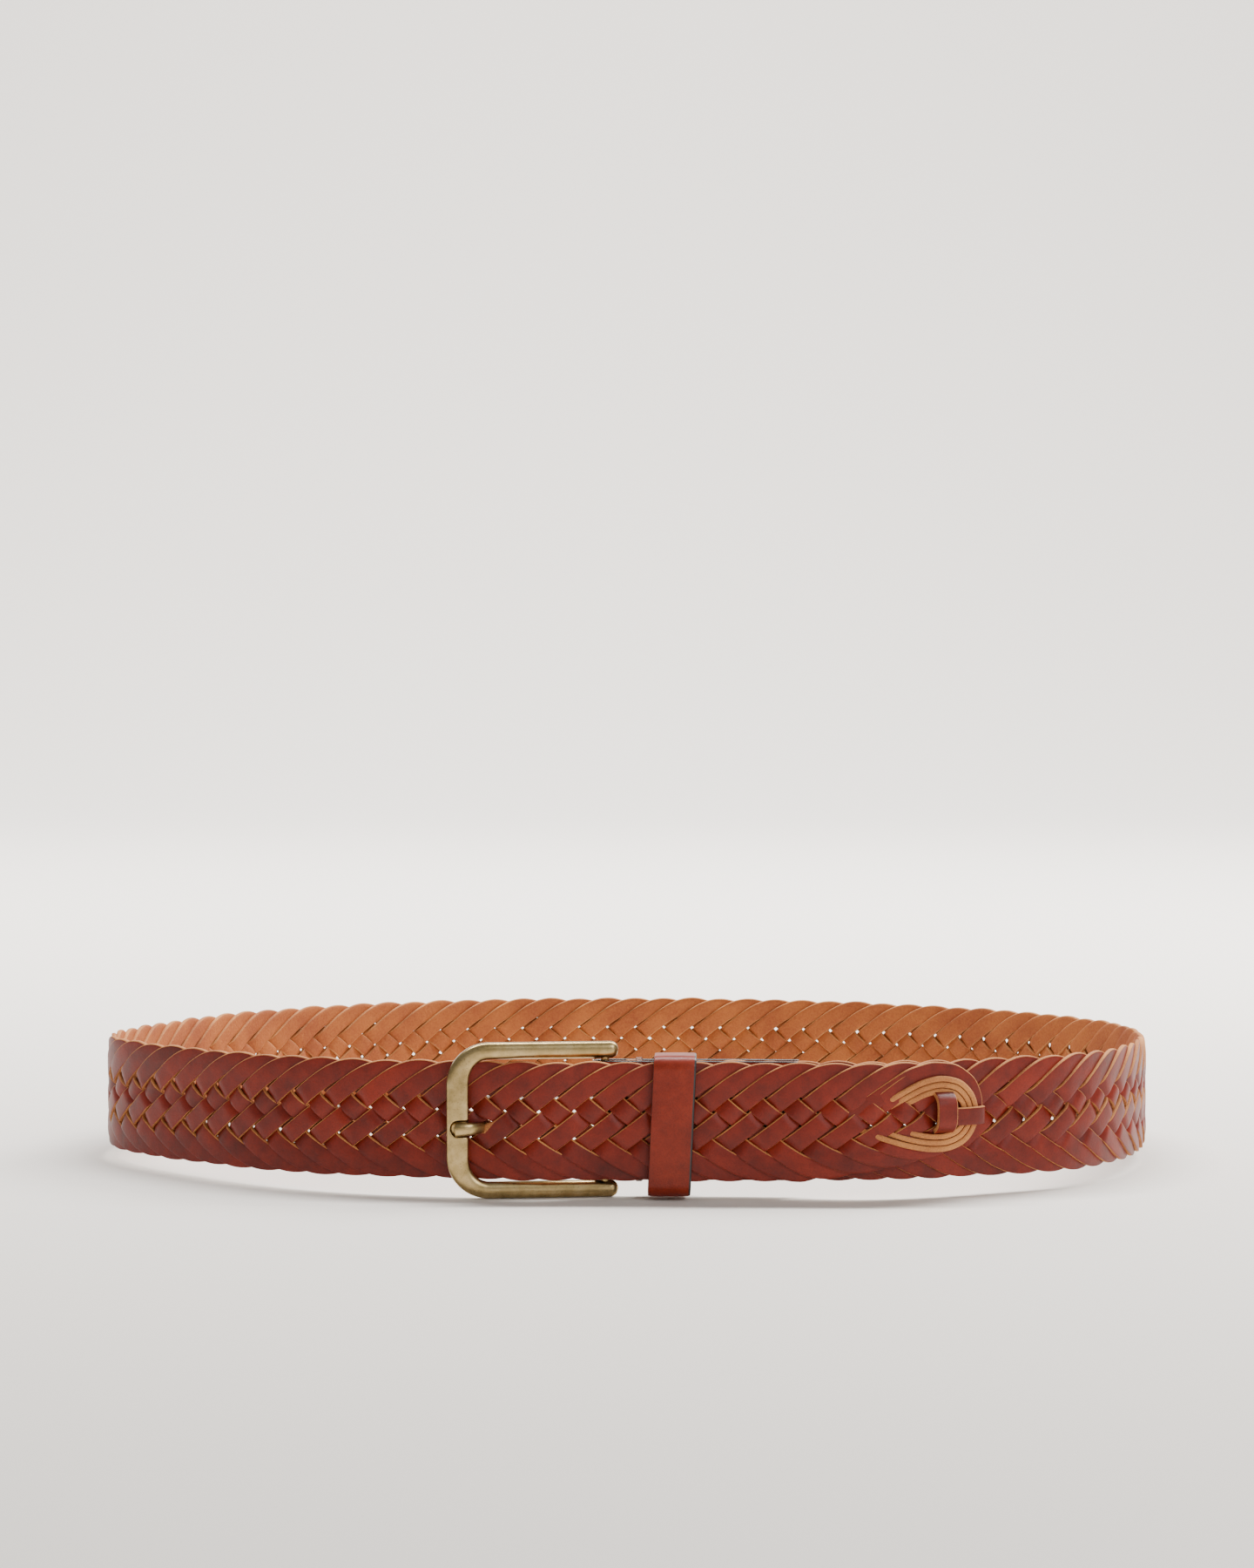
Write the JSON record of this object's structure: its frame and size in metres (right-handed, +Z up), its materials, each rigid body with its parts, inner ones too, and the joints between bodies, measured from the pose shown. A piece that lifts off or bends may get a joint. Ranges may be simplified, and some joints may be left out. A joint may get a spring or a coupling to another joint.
{
  "type": "braided leather belt",
  "caption": "Buckled braided leather belt standing on its edge as an oval loop, with a brass frame buckle, a prong and a leather keeper.",
  "frame": {"origin": "middle of the footprint, on the surface the belt stands on", "axes": "+X along the front of the loop towards the free tip, -Y towards the buckle side, +Z up"},
  "size_m": [0.3312, 0.2462, 0.0461],
  "materials": {
    "braided_leather": "satin cognac grain",
    "smooth_leather": "satin cognac grain",
    "antique_brass": "brushed antique",
    "waxed_thread": "waxed"
  },
  "bodies": {
    "strap": {"strand_01": "braided_leather", "strand_02": "braided_leather", "strand_03": "braided_leather", "strand_04": "braided_leather", "strand_05": "braided_leather", "strand_06": "braided_leather", "strand_07": "braided_leather", "strand_08": "braided_leather", "strand_09": "braided_leather", "strand_10": "braided_leather", "buckle_tab": "smooth_leather", "stitch_top": "waxed_thread", "stitch_bottom": "waxed_thread"},
    "buckle": {"buckle_frame": "antique_brass", "buckle_bar": "antique_brass"},
    "prong": {"prong": "antique_brass"},
    "keeper": {"keeper": "smooth_leather"},
    "tail": {"tail_strand_01": "braided_leather", "tail_strand_02": "braided_leather", "tail_strand_03": "braided_leather", "tail_strand_04": "braided_leather", "tail_strand_05": "braided_leather", "tail_strand_06": "braided_leather", "tail_strand_07": "braided_leather", "tail_strand_08": "braided_leather", "tail_strand_09": "braided_leather", "tail_strand_10": "braided_leather", "folded_tip": "braided_leather"}
  },
  "joints": [
    {"name": "buckle_pivot", "type": "hinge", "parent": "strap", "child": "buckle", "pos_m": [-0.00664, -0.11291, 0.02309], "axis": [0, 0, 1], "range_deg": [0, 1]},
    {"name": "prong_pivot", "type": "hinge", "parent": "buckle", "child": "prong", "pos_m": [-0.00664, -0.11291, 0.02309], "axis": [0, 0, 1], "range_deg": [0, 1]},
    {"name": "keeper_slide", "type": "slide", "parent": "strap", "child": "keeper", "axis": [0.9997, -0.0236, 0], "range_m": [-0.0025, 0.0025]},
    {"name": "tail_flex", "type": "hinge", "parent": "strap", "child": "tail", "pos_m": [0.02209, -0.12106, 0.023], "axis": [0, 0, -1], "range_deg": [0, 30], "stiffness_Nm_per_rad": 0.05}
  ]
}
